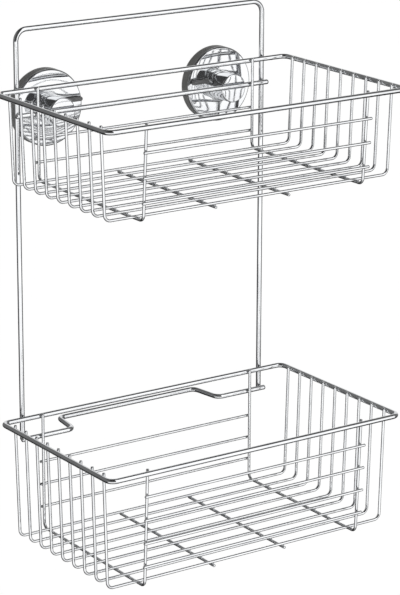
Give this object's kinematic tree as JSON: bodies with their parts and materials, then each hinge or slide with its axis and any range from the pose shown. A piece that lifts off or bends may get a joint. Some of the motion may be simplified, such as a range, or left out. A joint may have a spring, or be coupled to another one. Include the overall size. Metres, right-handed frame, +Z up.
{
  "type": "shower caddy",
  "caption": "Wall-hung wire shower caddy with an upper and a deeper lower basket on a rod bow, held by lever-locked suction holders.",
  "frame": {"origin": "on the wall plane, behind the middle of the rack and level with the axes of the two suction holders", "axes": "+Z up, +Y out of the caddy's back into the wall, -Y toward the room, +X to the right as seen from the room"},
  "size_m": [0.274, 0.19, 0.4048],
  "materials": {
    "rack_chrome": "bright chrome-plated steel rod and wire",
    "holder_chrome": "bright chrome",
    "cup_plastic": "dark grey satin plastic",
    "pad_rubber": "soft black rubber",
    "sleeve_plastic": "dark grey satin plastic",
    "stud_steel": "plain turned steel"
  },
  "bodies": {
    "holders": {"left_pad": "pad_rubber", "left_cup": "cup_plastic", "left_face_plate": "holder_chrome", "left_barrel": "holder_chrome", "right_pad": "pad_rubber", "right_cup": "cup_plastic", "right_face_plate": "holder_chrome", "right_barrel": "holder_chrome"},
    "rack": {"frame_bow": "rack_chrome", "upper_back_rail": "rack_chrome", "wall_spacer_rail": "rack_chrome", "upper_rim": "rack_chrome", "upper_long_wire_1": "rack_chrome", "upper_long_wire_2": "rack_chrome", "upper_long_wire_3": "rack_chrome", "upper_long_wire_4": "rack_chrome", "upper_long_wire_5": "rack_chrome", "upper_long_wire_6": "rack_chrome", "upper_long_wire_7": "rack_chrome", "upper_long_wire_8": "rack_chrome", "upper_long_wire_9": "rack_chrome", "upper_cross_wire_left": "rack_chrome", "upper_cross_wire_right": "rack_chrome", "upper_floor_wire_left": "rack_chrome", "upper_floor_wire_right": "rack_chrome", "upper_front_wire_1": "rack_chrome", "upper_front_wire_2": "rack_chrome", "upper_front_wire_3": "rack_chrome", "upper_back_wire_1": "rack_chrome", "upper_back_wire_2": "rack_chrome", "lower_rim": "rack_chrome", "lower_long_wire_1": "rack_chrome", "lower_long_wire_2": "rack_chrome", "lower_long_wire_3": "rack_chrome", "lower_long_wire_4": "rack_chrome", "lower_long_wire_5": "rack_chrome", "lower_long_wire_6": "rack_chrome", "lower_long_wire_7": "rack_chrome", "lower_long_wire_8": "rack_chrome", "lower_long_wire_9": "rack_chrome", "lower_cross_wire_left": "rack_chrome", "lower_cross_wire_right": "rack_chrome", "lower_floor_wire_left": "rack_chrome", "lower_floor_wire_right": "rack_chrome", "lower_front_wire_1": "rack_chrome", "lower_front_wire_2": "rack_chrome", "lower_front_wire_3": "rack_chrome", "lower_front_wire_4": "rack_chrome", "lower_back_wire_1": "rack_chrome", "lower_back_wire_2": "rack_chrome", "lower_back_wire_3": "rack_chrome"},
    "left_lever": {"left_lever_collar": "holder_chrome", "left_lever_sleeve": "sleeve_plastic"},
    "right_lever": {"right_lever_collar": "holder_chrome", "right_lever_sleeve": "sleeve_plastic"},
    "left_stud": {"left_draw_stud": "stud_steel", "left_cam_pin": "stud_steel"},
    "right_stud": {"right_draw_stud": "stud_steel", "right_cam_pin": "stud_steel"}
  },
  "joints": [
    {"name": "rack_lift_off", "type": "slide", "parent": "holders", "child": "rack", "axis": [0, -0.8192, 0.5736], "range_m": [0, 0.06]},
    {"name": "left_lever_turn", "type": "hinge", "parent": "holders", "child": "left_lever", "pos_m": [-0.076, -0.0133, 0], "axis": [0, -1, 0], "range_deg": [0, 90]},
    {"name": "right_lever_turn", "type": "hinge", "parent": "holders", "child": "right_lever", "pos_m": [0.0845, -0.0133, 0], "axis": [0, 1, 0], "range_deg": [0, 90]},
    {"name": "left_stud_draw", "type": "slide", "parent": "holders", "child": "left_stud", "axis": [0, 1, 0], "range_m": [0, 0.0015]},
    {"name": "right_stud_draw", "type": "slide", "parent": "holders", "child": "right_stud", "axis": [0, 1, 0], "range_m": [0, 0.0015]}
  ],
  "couplings": [
    {"joint": "left_stud_draw", "follows": "left_lever_turn", "m_per_rad": 0.00095},
    {"joint": "right_stud_draw", "follows": "right_lever_turn", "m_per_rad": 0.00095}
  ]
}
